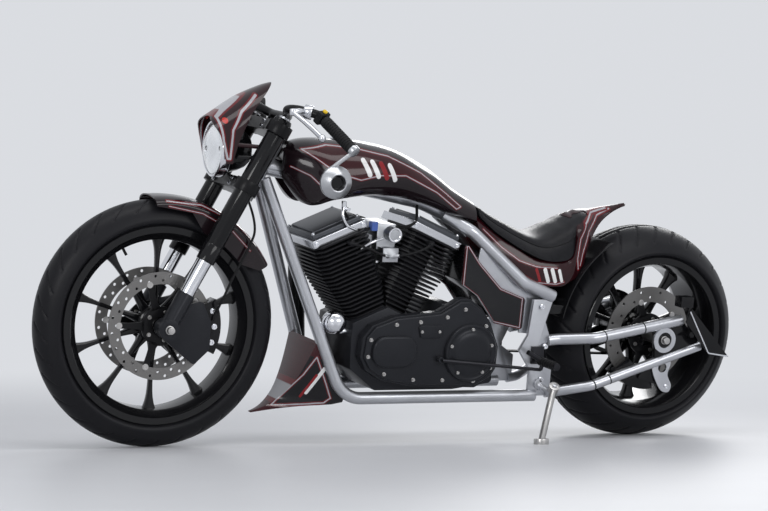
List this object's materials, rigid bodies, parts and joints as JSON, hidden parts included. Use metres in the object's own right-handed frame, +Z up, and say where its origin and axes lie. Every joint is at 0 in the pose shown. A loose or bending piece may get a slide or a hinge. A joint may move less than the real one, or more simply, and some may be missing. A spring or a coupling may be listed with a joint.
{
  "type": "chopper motorcycle",
  "caption": "Long, low chopper with a V-twin engine, wide rear tyre, long tank and a low saddle, leaning on its side stand; wheels, steering and stand move.",
  "frame": {"origin": "on the floor under the middle of the whole box", "axes": "+X to the front wheel, +Y to the rider's left, +Z up; the machine leans to +Y on its side stand"},
  "size_m": [2.2728, 0.7532, 1.03],
  "materials": {
    "frame_paint": "satin silver paint",
    "steel": "brushed",
    "body_paint": "gloss black and dark maroon with silver bands edged red",
    "leather": "black with stitched seams",
    "black_metal": "gloss black",
    "engine_grey": "matt dark grey",
    "engine_polished": "polished band, grey lid",
    "chrome": "polished",
    "aluminium": "satin",
    "rubber": "matt",
    "tyre": "matt"
  },
  "bodies": {
    "frame": {"steering_neck": "frame_paint", "downtubes": "frame_paint", "lower_rails": "frame_paint", "seat_rails": "frame_paint", "pivot_plates": "frame_paint", "upper_arms": "frame_paint", "lower_arms": "frame_paint", "axle_plates": "frame_paint", "rear_axle": "steel", "fuel_tank": "body_paint", "seat": "leather", "tail_cowl": "body_paint", "rear_fender": "black_metal", "side_panels": "body_paint", "oil_tank": "black_metal", "chin_spoiler": "body_paint", "crankcase": "engine_grey", "cylinders": "engine_grey", "rocker_boxes": "engine_polished", "primary_cover": "engine_grey", "cam_cover": "engine_grey", "pushrod_tubes": "chrome", "carburettor": "aluminium", "air_cleaner": "black_metal", "exhaust_pipes": "black_metal", "horn": "chrome", "foot_controls": "aluminium", "plug_leads": "rubber", "plate_bracket": "black_metal", "drive_belt": "rubber", "rear_calliper": "black_metal"},
    "fork": {"yokes": "black_metal", "fork_tubes": "frame_paint", "stanchions": "chrome", "fork_feet": "engine_grey", "front_axle": "steel", "front_fender": "body_paint", "headlight": "chrome", "fairing": "body_paint", "handlebar": "black_metal", "levers": "chrome", "mirror": "chrome", "front_callipers": "black_metal", "brake_hose": "rubber"},
    "front_wheel": {"front_tyre": "tyre", "front_rim": "black_metal", "front_discs": "steel"},
    "rear_wheel": {"rear_tyre": "tyre", "rear_rim": "black_metal", "rear_disc": "steel", "rear_pulley": "black_metal"},
    "stand": {"stand_leg": "black_metal"}
  },
  "joints": [
    {"name": "steering", "type": "hinge", "parent": "frame", "child": "fork", "pos_m": [0.52531, -0.0326, 0.73586], "axis": [-0.4633, 0.1386, 0.8753], "range_deg": [-22, 31]},
    {"name": "front_wheel_spin", "type": "hinge", "parent": "fork", "child": "front_wheel", "pos_m": [0.78689, -0.09818, 0.34853], "axis": [0.0742, 0.9903, -0.1176], "continuous": true},
    {"name": "rear_wheel_spin", "type": "hinge", "parent": "frame", "child": "rear_wheel", "pos_m": [-0.81295, -0.09811, 0.32226], "axis": [0, 0.9877, -0.1564], "continuous": true},
    {"name": "side_stand_fold", "type": "hinge", "parent": "frame", "child": "stand", "pos_m": [-0.43569, 0.05545, 0.15392], "axis": [0.1136, 0.726, 0.6782], "range_deg": [0, 108]}
  ]
}
